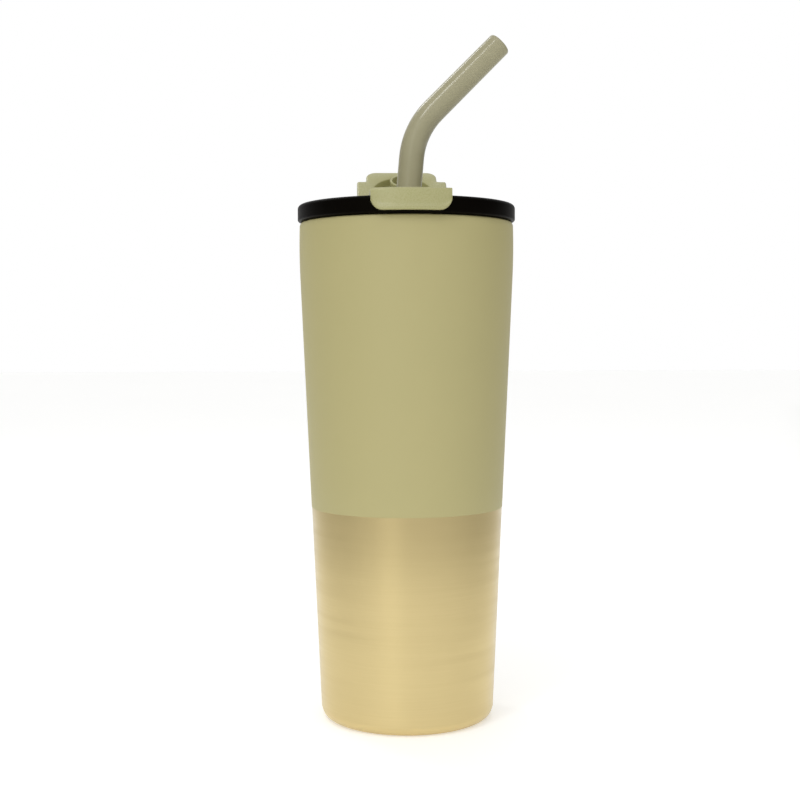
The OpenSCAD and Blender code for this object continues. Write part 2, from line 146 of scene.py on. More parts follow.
# Straw and mouthpiece, along the straw's leaning axis from its pivot
PIVOT = Vector(JOINTS["mouthpiece_swivel"]["pos_m"]) / MM
STRAW_AXIS = Vector(JOINTS["straw_slide"]["axis"])
LEAN = math.atan2(STRAW_AXIS.x, STRAW_AXIS.z)
TUBE_R = 4.0
TUBE_WALL = 0.5
TUBE_TOP = 16.5
BEND_START = 19.5
BEND_R = 31.0
BEND = math.radians(40)
TIP_LEN = 38.7
MOUTH_FOOT_R = 5.1
MOUTH_TIP_R = 4.95
CHANNEL_R = 3.0
MOUTH_FOOT = BAR_TOP + 1 - PIVOT.z + MOUTH_FOOT_R * math.sin(LEAN) + 0.2


# ---------------------------------------------------------------- mesh tools


def mesh_object(name, verts, faces, smooth_angle=35):
    """Mesh from points in millimetres, with shading that stays crisp at real edges."""
    mesh = bpy.data.meshes.new(name)
    mesh.from_pydata([Vector(v) * MM for v in verts], [], faces)
    mesh.validate()
    bm = bmesh.new()
    bm.from_mesh(mesh)
    bmesh.ops.remove_doubles(bm, verts=bm.verts, dist=1e-7)
    bmesh.ops.recalc_face_normals(bm, faces=bm.faces)
    bm.to_mesh(mesh)
    bm.free()
    obj = bpy.data.objects.new(name, mesh)
    bpy.context.scene.collection.objects.link(obj)
    mesh.shade_smooth()
    mesh.set_sharp_from_angle(angle=math.radians(smooth_angle))
    return obj


def arc(cx, cz, r, start, end, n=8):
    """Points of an arc about (cx, cz), angles in degrees."""
    steps = [math.radians(start + (end - start) * k / n) for k in range(n + 1)]
    return [(cx + r * math.cos(a), cz + r * math.sin(a)) for a in steps]


def lathe(name, outline, segments=192, axis=(0, 0), smooth_angle=35):
    """Solid of revolution about a vertical axis from a closed outline of (radius, height)."""
    verts = []
    for k in range(segments):
        a = 2 * math.pi * k / segments
        verts += [(axis[0] + r * math.cos(a), axis[1] + r * math.sin(a), z) for r, z in outline]
    n = len(outline)
    faces = []
    for k in range(segments):
        here, there = k * n, (k + 1) % segments * n
        for i in range(n):
            j = (i + 1) % n
            faces.append((here + i, there + i, there + j, here + j))
    return mesh_object(name, verts, faces, smooth_angle)


def loft(name, loops, closed=False, smooth_angle=35):
    """Skin over loops of equal length; the ends are capped unless the skin closes on itself."""
    n = len(loops[0])
    verts = [p for loop in loops for p in loop]
    faces = []
    for k in range(len(loops) if closed else len(loops) - 1):
        here, there = k * n, (k + 1) % len(loops) * n
        for i in range(n):
            j = (i + 1) % n
            faces.append((here + i, here + j, there + j, there + i))
    if not closed:
        faces.append(tuple(range(n)))
        faces.append(tuple(range((len(loops) - 1) * n, len(loops) * n)))
    return mesh_object(name, verts, faces, smooth_angle)


def inset(outline, d):
    """Outline of (x, y) moved inwards by d; it runs anticlockwise."""
    n = len(outline)
    moved = []
    for i in range(n):
        p, a, b = (Vector(outline[k % n]) for k in (i, i - 1, i + 1))
        e0, e1 = (p - a).normalized(), (b - p).normalized()
        normal = Vector((-(e0.y + e1.y), e0.x + e1.x)).normalized()
        stretch = 1 / max(0.5, normal.dot(Vector((-e0.y, e0.x))))
        moved.append(tuple(p + normal * d * stretch))
    return moved


def resample(outline, count, start=0.0):
    """Outline of (x, y) with evenly spaced points, so that loops of different shapes match."""
    pts = [Vector(p) for p in outline]
    lengths = [(pts[(i + 1) % len(pts)] - pts[i]).length for i in range(len(pts))]
    total = sum(lengths)
    made, i, walked = [], 0, 0.0
    for k in range(count):
        target = (start + k / count) % 1 * total
        if target < walked:
            i, walked = 0, 0.0
        while walked + lengths[i] < target:
            walked += lengths[i]
            i += 1
        t = (target - walked) / lengths[i]
        made.append(tuple(pts[i].lerp(pts[(i + 1) % len(pts)], t)))
    return made


def cut(obj, *tools):
    """Subtracts the tools and throws them away."""
    for tool in tools:
        step = obj.modifiers.new("cut", "BOOLEAN")
        step.operation = "DIFFERENCE"
        step.solver = "EXACT"
        step.object = tool
        with bpy.context.temp_override(object=obj, active_object=obj):
            bpy.ops.object.modifier_apply(modifier=step.name)
        bpy.data.objects.remove(tool)
    obj.data.shade_smooth()
    obj.data.set_sharp_from_angle(angle=math.radians(35))
    return obj


def join(name, *objs):
    """One piece from several closed shells."""
    mesh = bpy.data.meshes.new(name)
    bm = bmesh.new()
    for obj in objs:
        start = len(bm.verts)
        bm.from_mesh(obj.data)
        bm.verts.ensure_lookup_table()
        bmesh.ops.transform(bm, matrix=obj.matrix_world, verts=bm.verts[start:])
    bm.to_mesh(mesh)
    bm.free()
    for obj in objs:
        bpy.data.objects.remove(obj)
    made = bpy.data.objects.new(name, mesh)
    bpy.context.scene.collection.objects.link(made)
    mesh.set_sharp_from_angle(angle=math.radians(35))
    return made


def soften(obj, width, segments=3, angle=40):
    """Rounds the sharp edges as a mould does."""
    step = obj.modifiers.new("moulded_edges", "BEVEL")
    step.width = width * MM
    step.segments = segments
    step.limit_method = "ANGLE"
    step.angle_limit = math.radians(angle)
    step.harden_normals = True
    with bpy.context.temp_override(object=obj, active_object=obj):
        bpy.ops.object.modifier_apply(modifier=step.name)
    return obj


def turned(name, radius, length, edge, segments=64):
    """Round pin along Z from 0 to length, with rounded ends."""
    outline = [(AXIS_R, 0)] + arc(radius - edge, edge, edge, -90, 0, 4)
    outline += arc(radius - edge, length - edge, edge, 0, 90, 4) + [(AXIS_R, length)]
    return lathe(name, outline, segments)


def place(obj, matrix):
    """Moves the mesh itself by a matrix whose lengths are in millimetres."""
    obj.data.transform(Matrix.Scale(MM, 4) @ matrix @ Matrix.Scale(1 / MM, 4))
    return obj


def finish_piece(obj, body, slot_name, material, *nodes):
    """Names the piece's body, its material and the nodes that it stands for; the slot name is not
    used.
    """
    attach(obj, body)
    if nodes:
        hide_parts(*nodes)
    if not obj.data.materials:
        obj.data.materials.append(material)
    return obj


# ---------------------------------------------------------------- material tools


def linear(hex_colour, alpha=1.0):
    """sRGB hex to the linear colour that shaders take."""
    parts = [int(hex_colour[i:i + 2], 16) / 255 for i in (1, 3, 5)]
    curved = [c / 12.92 if c <= 0.04045 else ((c + 0.055) / 1.055) ** 2.4 for c in parts]
    return tuple(curved) + (alpha,)


def add(tree, kind, settings=None, inputs=None):
    """Adds a node, sets its properties, and sets or links its inputs."""
    node = tree.nodes.new(kind)
    for name, value in (settings or {}).items():
        setattr(node, name, value)
    for name, value in (inputs or {}).items():
        if isinstance(value, bpy.types.NodeSocket):
            tree.links.new(value, node.inputs[name])
        else:
            node.inputs[name].default_value = value
    return node


def start_material(name, **sockets):
    """New material with a Principled shader whose fixed values sit on its own sockets."""
    material = bpy.data.materials.new(name)
    material.use_nodes = True
    tree = material.node_tree
    shader = tree.nodes["Principled BSDF"]
    for socket, value in sockets.items():
        shader.inputs[socket.replace("_", " ")].default_value = value
    return material, tree, shader


def place_on(tree):
    """Object coordinates, in metres."""
    return add(tree, "ShaderNodeTexCoord").outputs["Object"]


def noise(tree, coords, size_mm, detail=3.0, stretch=(1, 1, 1)):
    """Noise whose features are about size_mm across, stretched along each axis."""
    scale = 1 / (size_mm * MM)
    mapped = add(tree, "ShaderNodeMapping", inputs={
        "Vector": coords, "Scale": tuple(scale / s for s in stretch)}).outputs["Vector"]
    return add(tree, "ShaderNodeTexNoise", inputs={
        "Vector": mapped, "Scale": 1.0, "Detail": detail}).outputs["Fac"]


def map_range(tree, kind, value, start, end, low, high):
    """Takes the value from the range start to end over to the range low to high."""
    return add(tree, "ShaderNodeMapRange", {"interpolation_type": kind}, {
        "Value": value, "From Min": start, "From Max": end,
        "To Min": low, "To Max": high}).outputs["Result"]


def spread(tree, factor, low, high):
    """Spreads a noise factor, which mostly lies between a quarter and three quarters."""
    return map_range(tree, "LINEAR", factor, 0.25, 0.75, low, high)


def tint(tree, factor, hex_a, hex_b):
    """Blend of two colours."""
    return add(tree, "ShaderNodeMix", {"data_type": "RGBA"}, {
        "Factor": factor, 6: linear(hex_a), 7: linear(hex_b)}).outputs[2]


def smooth_step(tree, value, start, end, low, high):
    """Eases from low to high while the value goes from start to end."""
    return map_range(tree, "SMOOTHSTEP", value, start, end, low, high)


def bump(tree, height, depth_mm, strength=1.0, normal=None):
    """Normal for a relief depth_mm deep, laid over another normal if one is given."""
    inputs = {"Height": height, "Distance": depth_mm * MM, "Strength": strength}
    if normal is not None:
        inputs["Normal"] = normal
    return add(tree, "ShaderNodeBump", inputs=inputs).outputs["Normal"]


# ---------------------------------------------------------------- materials


def powder_paint():
    """Powder-coated steel, cured satin: even grey-green, with the coat's faint orange peel."""
    material, tree, shader = start_material(
        "powder_coated_steel_satin", IOR=1.5)
    at = place_on(tree)
    cloud = noise(tree, at, 45, 2)
    grain = noise(tree, at, 0.7, 2)
    peel = noise(tree, at, 2.6, 1)
    tree.links.new(tint(tree, cloud, "#BCB37E", "#B8B07C"), shader.inputs["Base Color"])
    tree.links.new(spread(tree, grain, 0.44, 0.54), shader.inputs["Roughness"])
    fine = bump(tree, grain, 0.012)
    tree.links.new(bump(tree, peel, 0.02, 1.0, fine), shader.inputs["Normal"])
    return material


def brushed_steel_champagne():
    """Stainless steel, brushed round the cup and tinted champagne by its clear coat. Its base
    colour is painted a little darker towards the seam, to match the object: painted shade that
    stands in for the dimmer reflections high on the metal. Its tone is set a little deeper
    towards the seam, to match the object; what causes that isn't known. The brush lines are 0.1
    mm apart on the real sheet and are drawn at 0.4 mm so that they show."""
    material, tree, shader = start_material(
        "brushed_stainless_champagne", Metallic=1.0, Anisotropic=0.6, Anisotropic_Rotation=0.25)
    at = place_on(tree)
    lines = noise(tree, at, 0.4, 2, (60, 60, 1))
    wide = noise(tree, at, 2.5, 2, (30, 30, 1))
    cloud = noise(tree, at, 30, 2)
    worn = tint(tree, lines, "#D0BD8A", "#DCC996")
    tone = tint(tree, cloud, "#D5C28F", "#D9C692")
    mixed = add(tree, "ShaderNodeMix", {"data_type": "RGBA"}, {
        "Factor": 0.5, 6: worn, 7: tone}).outputs[2]
    # Painted shade: the base colour darkens towards the seam, standing in for dimmer reflections
    # there
    height = add(tree, "ShaderNodeSeparateXYZ", inputs={"Vector": at}).outputs["Z"]
    start = SEAM_Z - SHADE_BELOW_SEAM
    painted_shade_near_seam = smooth_step(tree, height, start * MM, SEAM_Z * MM, 0.0, 0.6)
    with_painted_shade = add(tree, "ShaderNodeMix", {"data_type": "RGBA"}, {
        "Factor": painted_shade_near_seam, 6: mixed, 7: linear("#B7A678")}).outputs[2]
    tree.links.new(with_painted_shade, shader.inputs["Base Color"])
    tree.links.new(spread(tree, wide, 0.30, 0.40), shader.inputs["Roughness"])
    tangent = add(tree, "ShaderNodeTangent", {"direction_type": "RADIAL", "axis": "Z"})
    tree.links.new(tangent.outputs["Tangent"], shader.inputs["Tangent"])
    tree.links.new(bump(tree, lines, 0.004), shader.inputs["Normal"])
    return material


def polypropylene_black():
    """Polypropylene, injection moulded in a lightly etched tool: deep black with a soft sheen."""
    material, tree, shader = start_material(
        "moulded_polypropylene_black", IOR=1.49, Specular_IOR_Level=0.04,
        Specular_Tint=linear("#E6D8BE"))
    at = place_on(tree)
    etch = noise(tree, at, 0.35, 2)
    dust = noise(tree, at, 9, 4)
    tree.links.new(tint(tree, dust, "#040302", "#080604"), shader.inputs["Base Color"])
    tree.links.new(spread(tree, etch, 0.36, 0.48), shader.inputs["Roughness"])
    tree.links.new(bump(tree, etch, 0.01), shader.inputs["Normal"])
    return material


def abs_pale_green():
    """ABS, injection moulded and satin: pale grey-green, slightly glossier than the paint."""
    material, tree, shader = start_material("moulded_abs_pale_green", IOR=1.53)
    at = place_on(tree)
    flow = noise(tree, at, 14, 3)
    etch = noise(tree, at, 0.4, 2)
    tree.links.new(tint(tree, flow, "#AEAB78", "#B3B07E"), shader.inputs["Base Color"])
    tree.links.new(spread(tree, etch, 0.24, 0.32), shader.inputs["Roughness"])
    tree.links.new(bump(tree, etch, 0.002), shader.inputs["Normal"])
    return material


def silicone(name, hex_a, hex_b, low=0.32, high=0.46):
    """Silicone rubber, compression moulded: an even body colour under a smooth satin skin."""
    material, tree, shader = start_material(name, IOR=1.41)
    at = place_on(tree)
    bloom = noise(tree, at, 7, 3)
    skin = noise(tree, at, 0.6, 2)
    tree.links.new(tint(tree, bloom, hex_a, hex_b), shader.inputs["Base Color"])
    tree.links.new(spread(tree, bloom, low, high), shader.inputs["Roughness"])
    tree.links.new(bump(tree, skin, 0.0005), shader.inputs["Normal"])
    return material


def electropolished_steel():
    """Stainless steel, drawn and electropolished: bright, with faint rings left by the drawing."""
    material, tree, shader = start_material("electropolished_stainless", Metallic=1.0)
    at = place_on(tree)
    rings = noise(tree, at, 1.2, 2, (80, 80, 1))
    tree.links.new(tint(tree, rings, "#CFCDC6", "#DBD9D2"), shader.inputs["Base Color"])
    tree.links.new(spread(tree, rings, 0.16, 0.28), shader.inputs["Roughness"])
    tree.links.new(bump(tree, rings, 0.004), shader.inputs["Normal"])
    return material


def spun_steel():
    """Stainless steel sheet, stamped and spun: satin, with rings about its centre."""
    material, tree, shader = start_material("spun_stainless", Metallic=1.0)
    at = place_on(tree)
    flat = add(tree, "ShaderNodeVectorMath", {"operation": "MULTIPLY"}, {
        0: at, 1: (1, 1, 0)}).outputs[0]
    radius = add(tree, "ShaderNodeVectorMath", {"operation": "LENGTH"}, {0: flat}).outputs["Value"]
    rings = add(tree, "ShaderNodeTexNoise", {"noise_dimensions": "1D"}, {
        "W": radius, "Scale": 2500, "Detail": 2}).outputs["Fac"]
    tree.links.new(tint(tree, rings, "#C6BFA6", "#D6CFB6"), shader.inputs["Base Color"])
    tree.links.new(spread(tree, rings, 0.26, 0.40), shader.inputs["Roughness"])
    tree.links.new(bump(tree, rings, 0.006), shader.inputs["Normal"])
    return material


def polished_tube():
    """Stainless tube, drawn and buffed: bright, with fine lines along its length."""
    material, tree, shader = start_material("buffed_stainless_tube", Metallic=1.0)
    at = place_on(tree)
    lines = noise(tree, at, 0.3, 2, (1, 1, 90))
    tree.links.new(tint(tree, lines, "#CCCBC6", "#DEDDD8"), shader.inputs["Base Color"])
    tree.links.new(spread(tree, lines, 0.14, 0.24), shader.inputs["Roughness"])
    return material


def copper_foil():
    """Copper foil, rolled and wrapped: warm, bright and slightly creased."""
    material, tree, shader = start_material("rolled_copper_foil", Metallic=1.0)
    at = place_on(tree)
    crease = noise(tree, at, 12, 4)
    tree.links.new(tint(tree, crease, "#C9764C", "#D98A5E"), shader.inputs["Base Color"])
    tree.links.new(spread(tree, crease, 0.18, 0.34), shader.inputs["Roughness"])
    tree.links.new(bump(tree, crease, 0.3), shader.inputs["Normal"])
    return material


def fused_glass():
    """Glass frit, melted in the oven: a dark bead with a glossy skin."""
    material, tree, shader = start_material("fused_glass_bead", IOR=1.52)
    at = place_on(tree)
    swirl = noise(tree, at, 1.5, 3)
    tree.links.new(tint(tree, swirl, "#2E3236", "#474C50"), shader.inputs["Base Color"])
    tree.links.new(spread(tree, swirl, 0.05, 0.12), shader.inputs["Roughness"])
    return material


def sintered_metal():
    """Getter metal, pressed and sintered from powder: dull and grainy."""
    material, tree, shader = start_material("sintered_getter_metal", Metallic=0.8)
    at = place_on(tree)
    grit = noise(tree, at, 0.25, 4)
    tree.links.new(tint(tree, grit, "#55534F", "#77746E"), shader.inputs["Base Color"])
    tree.links.new(spread(tree, grit, 0.55, 0.75), shader.inputs["Roughness"])
    tree.links.new(bump(tree, grit, 0.03), shader.inputs["Normal"])
    return material


PAINT = powder_paint()
BRUSHED = brushed_steel_champagne()
BLACK = polypropylene_black()
GREEN = abs_pale_green()
STRAW_SILICONE = silicone("moulded_silicone_greige", "#A49F80", "#ABA688", 0.15, 0.22)
GREEN_SILICONE = silicone("moulded_silicone_pale_green", "#AFAC7C", "#B5B285")
CLEAR_SILICONE = silicone("moulded_silicone_natural", "#C4C3BA", "#D2D1C8")
BLACK_SILICONE = silicone("moulded_silicone_black", "#151413", "#201F1D")
INNER = electropolished_steel()
SPUN = spun_steel()
TUBE = polished_tube()


# ---------------------------------------------------------------- the cup


def wall_r(z):
    """Outside radius of the cup's steel at a height."""
    taper = (SHOULDER_R - BASE_R) / SHOULDER_Z
    if z <= SHOULDER_Z:
        return BASE_R + taper * z
    t = z - SHOULDER_Z
    bow = (SHOULDER_R + taper * SHOULDER_H - LIP_R) / SHOULDER_H ** 2
    return SHOULDER_R + taper * t - bow * t * t


def heights(low, high, n):
    """Evenly spaced values from low to high, both included."""
    return [low + (high - low) * k / n for k in range(n + 1)]


def outer_wall():
    """Outer wall: painted above the seam, with the coat a hair proud, and brushed below it."""
    turn = 1.1
    foot_r = BASE_R - CORNER_R
    paint = arc(LIP_R - turn, LIP_Z - turn - 0.02, turn, 75, 6, 8)
    paint += [(wall_r(z) + PAINT_T, z) for z in heights(LIP_Z - turn - 0.3, SHOULDER_Z, 14)]
    paint += [(wall_r(z) + PAINT_T, z) for z in heights(SHOULDER_Z - 4, SEAM_Z + 0.3, 10)]
    edge = [(wall_r(SEAM_Z) + PAINT_T * 0.8, SEAM_Z + 0.08), (wall_r(SEAM_Z), SEAM_Z)]
    metal = [(wall_r(z), z) for z in heights(SEAM_Z - 0.3, CORNER_R, 10)]
    corner = arc(foot_r, CORNER_R, CORNER_R, 0, -90, 14)
    foot = [(foot_r - 1.3, 0), (foot_r - 1.6, 0.3), (foot_r - 1.6, SHEET)]
    inside = [(foot_r, SHEET), (BASE_R - SHEET, CORNER_R), (SHOULDER_R - SHEET, SHOULDER_Z),
              (LIP_R - turn, LIP_Z - turn)]
    obj = lathe("outer_wall", paint + edge + metal + corner + foot + inside, 256)
    obj.data.materials.append(PAINT)
    obj.data.materials.append(BRUSHED)
    for face in obj.data.polygons:
        face.material_index = 0 if face.center.z > SEAM_Z * MM else 1
    return finish_piece(obj, "cup", "painted_steel", PAINT, "outer_shell")


def inner_wall():
    """Inner wall with the rolled lip that the lid sits on."""
    inside = SHEET + VACUUM + SHEET
    low, neck = wall_r(DISH_Z) - inside, wall_r(NECK_Z) - inside
    lip = arc(MOUTH_R + 0.4, LIP_Z - 0.4, 0.4, 180, 90, 5)
    lip += [(LIP_R - 0.9, LIP_Z), (LIP_R - 0.8, LIP_Z - 0.12), (LIP_R - 1.2, LIP_Z - SHEET)]
    outline = [(low, DISH_Z), (neck, NECK_Z), (MOUTH_R, MOUTH_Z)] + lip
    outline += [(MOUTH_R + SHEET, LIP_Z - SHEET), (MOUTH_R + SHEET, MOUTH_Z),
                (neck + SHEET, NECK_Z), (low + SHEET, DISH_Z)]
    obj = lathe("inner_wall", outline, 192)
    return finish_piece(obj, "cup", "inner_steel", INNER, "inner_vessel")


def drinking_floor():
    """Dished floor with its rounded corner."""
    rim = wall_r(DISH_Z) - SHEET - VACUUM - SHEET
    corner = DISH_Z - FLOOR_Z - SHEET - 2
    centre = rim - 0.3 - corner
    level = FLOOR_Z + SHEET + corner
    outline = [(AXIS_R, FLOOR_Z), (centre, FLOOR_Z)]
    outline += arc(centre, level, corner + SHEET, -90, 0, 12)
    outline += [(rim + SHEET, DISH_Z), (rim, DISH_Z)] + arc(centre, level, corner, 0, -90, 12)
    outline += [(10, FLOOR_Z + SHEET), (AXIS_R, FLOOR_Z + SHEET)]
    obj = lathe("drinking_floor", outline, 160)
    return finish_piece(obj, "cup", "inner_steel", INNER, "inner_bottom")


def bottom_cap():
    """Stamped disc under the cup, with a raised ring and a shallow dished middle."""
    r = reach("base_cap")
    z = bottom("base_cap")
    ceiling = top("base_cap")
    outline = [(AXIS_R, z + 0.45), (8, z + 0.4), (14, z + 0.15)]
    outline += arc(16, z + 0.15, 0.15, 90, -90, 4)
    outline += [(r - 1.2, z)] + arc(r - 0.5, z + 0.5, 0.5, -90, 0, 5)
    outline += [(r, ceiling), (r - 3, ceiling), (r - 3.6, z + 0.6), (AXIS_R, z + 0.7)]
    return finish_piece(lathe("bottom_cap", outline, 192), "cup", "bare_steel", SPUN, "base_cap")


outer_wall()
inner_wall()
drinking_floor()
bottom_cap()


# ---------------------------------------------------------------- the lid


def lid_shell():
    """Black lid: rounded rim, recessed deck and a skirt with its gasket groove."""
    outline = [(AXIS_R, DECK_BOTTOM), (SKIRT_IN, DECK_BOTTOM), (SKIRT_IN, SKIRT_BOTTOM + 0.3),
               (SKIRT_IN + 0.3, SKIRT_BOTTOM), (SKIRT_R - 0.6, SKIRT_BOTTOM),
               (SKIRT_R, SKIRT_BOTTOM + 0.6),
               (SKIRT_R, GASKET_Z), (SKIRT_R - 1.4, GASKET_Z), (SKIRT_R - 1.4, GASKET_Z + GASKET_H),
               (SKIRT_R, GASKET_Z + GASKET_H), (SKIRT_R, LIP_Z), (LIP_R - 0.6, LIP_Z)]
    outline += arc(RIM_R - 0.8, RIM_BOTTOM + 0.8, 0.8, -90, 0, 6)
    outline += arc(RIM_R - 1.7, RIM_TOP - 1.7, 1.7, 0, 90, 10)
    outline += arc(RIM_IN + 0.8, RIM_TOP - 0.8, 0.8, 90, 180, 6)
    outline += arc(RIM_IN - 0.8, DECK_TOP + 0.8, 0.8, 0, -90, 6)
    outline += [(AXIS_R, DECK_TOP)]
    obj = lathe("lid_shell", outline, 256)
    holes = [turned("grommet_hole", GROMMET_R, 4, 0.01), turned("vent_hole", VENT_R / 2, 4, 0.01)]
    place(holes[0], Matrix.Translation((0, PIVOT.y, DECK_BOTTOM - 1)))
    place(holes[1], Matrix.Translation((VENT_X, 0, DECK_BOTTOM - 1)))
    cut(obj, *holes)
    return finish_piece(obj, "lid", "black_plastic", BLACK, "lid_body")


def bar_section():
    """Section of the bar through its middle as (y, z), from the back over the rim to the tab."""
    under = RIM_TOP + 0.1
    inner = -(RIM_IN - 0.2)
    back = [(BAR_BACK, DECK_TOP)] + arc(BAR_BACK - 1.4, BAR_TOP - 1.4, 1.4, 0, 90, 6)
    crest = [(y, BAR_TOP) for y in (8, 0, -8, -16, -24, -32, -40)]
    nose = arc(-TAB_OUT + 1.0, BAR_TOP - 1.0, 1.0, 90, 180, 6)
    front = [(-TAB_OUT, z) for z in heights(BAR_TOP - 2, TAB_BOTTOM + 3, 4)]
    flare = [(-TAB_OUT - 0.8 * (0.5 - 0.5 * math.cos(math.pi * t)), TAB_BOTTOM + 3 - 2.3 * t)
             for t in (0.2, 0.4, 0.6, 0.8, 1.0)]
    lip = arc(-TAB_OUT - 0.1, TAB_BOTTOM + 0.7, 0.7, 180, 270, 5)
    inside = [(-TAB_IN, TAB_BOTTOM), (-TAB_IN, TAB_BOTTOM + 2), (-TAB_IN, under), (inner, under),
              (inner, DECK_TOP)]
    return back + crest + nose + front + flare + lip + inside


def tab_floor(x):
    """Height of the tab's lower edge at x, with its rounded corners."""
    past = abs(x) - (BAR_HALF - TAB_CORNER)
    if past <= 0:
        return TAB_BOTTOM
    return TAB_BOTTOM + TAB_CORNER - math.sqrt(max(0.0, TAB_CORNER ** 2 - past ** 2))


def green_bar():
    """Bar across the deck; its front end hangs outside the rim as a tab with a flared lip."""
    flat = BAR_HALF - TAB_CORNER
    corner = [flat + TAB_CORNER * math.sin(math.radians(a)) for a in (15, 30, 45, 58, 70, 80, 90)]
    xs = [-x for x in reversed(corner)] + heights(-flat, flat, 14) + corner
    tab_root = BAR_TOP - 1.6
    loops = []
    for x in xs:
        loop = []
        for y, z in bar_section():
            if y < -RIM_IN and z < tab_root and y < -TAB_IN + 0.1:
                drop = (tab_root - z) * (tab_root - tab_floor(x))
                z = tab_root - drop / (tab_root - TAB_BOTTOM)
            if y < -30:
                y = -math.sqrt(y * y - x * x)
            loop.append((x, y, z))
        loops.append(loop)
    obj = soften(loft("green_bar", loops), 0.5)
    hole = turned("grommet_hole", GROMMET_R, 12, 0.01)
    cut(obj, place(hole, Matrix.Translation((0, PIVOT.y, DECK_TOP - 2))))
    pin_end = Matrix.Translation((-KNUCKLE_HALF, HINGE.y, HINGE.z))
    along_x = pin_end @ Matrix.Rotation(math.pi / 2, 4, "Y")
    knuckle = place(turned("knuckle", KNUCKLE_R, 2 * KNUCKLE_HALF, 0.4), along_x)
    web_back, web_top = HINGE.y - 0.5, HINGE.z - 0.6
    web_front, web_half = BAR_BACK - 2, KNUCKLE_HALF - 0.2
    web = loft("web", [[(x, web_front, DECK_TOP), (x, web_back, DECK_TOP),
                        (x, web_back, web_top), (x, web_front, web_top + 1.6)]
                       for x in (-web_half, web_half)])
    obj = join("green_bar", obj, knuckle, web)
    return finish_piece(obj, "lid", "pale_green_plastic", GREEN, "deck_bar")


def wiping_gasket():
    """Ring in the skirt's groove, with two wiping lips."""
    root, core, lip = SKIRT_R - 1.35, SKIRT_R - 0.3, MOUTH_R - 0.3
    z = GASKET_Z + 0.05
    h = GASKET_H - 0.1
    outline = [(root, z), (core, z)] + arc(lip - 0.2, z + 1.0, 0.2, -90, 90, 5)
    outline += [(core, z + 1.6), (core, z + h - 1.6)]
    outline += arc(lip - 0.2, z + h - 1.0, 0.2, -90, 90, 5) + [(core, z + h), (root, z + h)]
    obj = lathe("wiping_gasket", outline, 192)
    return finish_piece(obj, "lid", "gasket_silicone", CLEAR_SILICONE, "lid_gasket")


def grommet():
    """Grommet through the bar and the deck, with the seat for the flap's ring plug."""
    seat_z = HINGE.z + UNDER_W - PLUG_PROUD - 0.1
    seat_r = PLUG_R + 0.25
    body, low = GROMMET_R - 0.02, bottom("straw_grommet")
    rim = BAR_TOP + 1
    bore = TUBE_R + 0.06 + 0.5
    flange = DECK_BOTTOM - 0.02
    outline = [(bore, low), (body + 0.2, low), (body + 0.8, flange), (body, flange),
               (body, BAR_TOP), (body + 1.4, BAR_TOP)] + arc(body + 0.9, rim - 0.5, 0.5, 0, 90, 5)
    outline += arc(seat_r + 0.4, rim - 0.4, 0.4, 90, 180, 5) + [(seat_r, seat_z), (bore, seat_z)]
    obj = lathe("grommet", outline, 96, (PIVOT.x, PIVOT.y))
    return finish_piece(obj, "lid", "green_silicone", GREEN_SILICONE, "straw_grommet")


def umbrella_valve():
    """Small umbrella valve that lets air in."""
    stem, low = VENT_R / 2 - 0.05, bottom("vent_valve")
    barb = DECK_BOTTOM - 0.3
    outline = [(0.5, low), (stem - 0.2, low), (stem + 0.5, barb), (stem, barb),
               (stem, DECK_TOP), (VENT_R, DECK_TOP)]
    outline += arc(VENT_R - 2.6, DECK_TOP - 3.1, 4.1, 55, 80, 5)
    outline += [(0.9, DECK_TOP + 1), (0.5, DECK_TOP + 0.7)]
    obj = lathe("umbrella_valve", outline, 64, (VENT_X, 0))
    return finish_piece(obj, "lid", "black_silicone", BLACK_SILICONE, "vent_valve")


lid_shell()
green_bar()
wiping_gasket()
grommet()
umbrella_valve()


# ---------------------------------------------------------------- the flap, drawn closed: (x, u, w)

FLAP_TURN = Matrix.Translation(HINGE) @ Matrix.Rotation(-(math.pi - FLAP_REST), 4, "X") \
    @ Matrix.Scale(-1, 4, (0, 1, 0))


def half_outline(right):
    """Closed outline from its right half, which runs from the back centre to the front centre."""
    left = [(-x, u) for x, u in reversed(right)]
    return right + [p for p in left if abs(p[0]) > 1e-6]


def flap_edge():
    """Plan of the flap: wide heel, shoulders and a narrower tongue with round corners."""
    right = [(0, HEEL_U)] + arc(FLAP_HALF - 2, HEEL_U + 2, 2, -90, 0, 6)
    right += arc(FLAP_HALF - 0.8, WIDE_LEN - 0.8, 0.8, 0, 90, 4)
    right += arc(TONGUE_HALF + 1.0, WIDE_LEN + 1.0, 1.0, 270, 180, 4)
    right += arc(TONGUE_HALF - 4.5, FLAP_LEN - 4.5, 4.5, 0, 90, 10) + [(0, FLAP_LEN)]
    return resample(half_outline(right), 240)


def pocket_edge():
    """Plan of the hollow in the underside: square at the heel and round towards the tip."""
    right = [(0, 6.8)] + arc(HOLLOW_R - 2, 8.8, 2, -90, 0, 6)
    right += arc(0, HOLLOW_U, HOLLOW_R, 0, 90, 20)
    return resample(half_outline(right), 240)


def flap_top(u):
    """Height of the flap's outer face, which thins towards the tongue's tip."""
    thick_len = HOLLOW_U + HOLLOW_R + 1.6
    t = max(0.0, u - thick_len) / (FLAP_LEN - thick_len)
    return UNDER_W + FLAP_T + (TONGUE_T - FLAP_T) * t


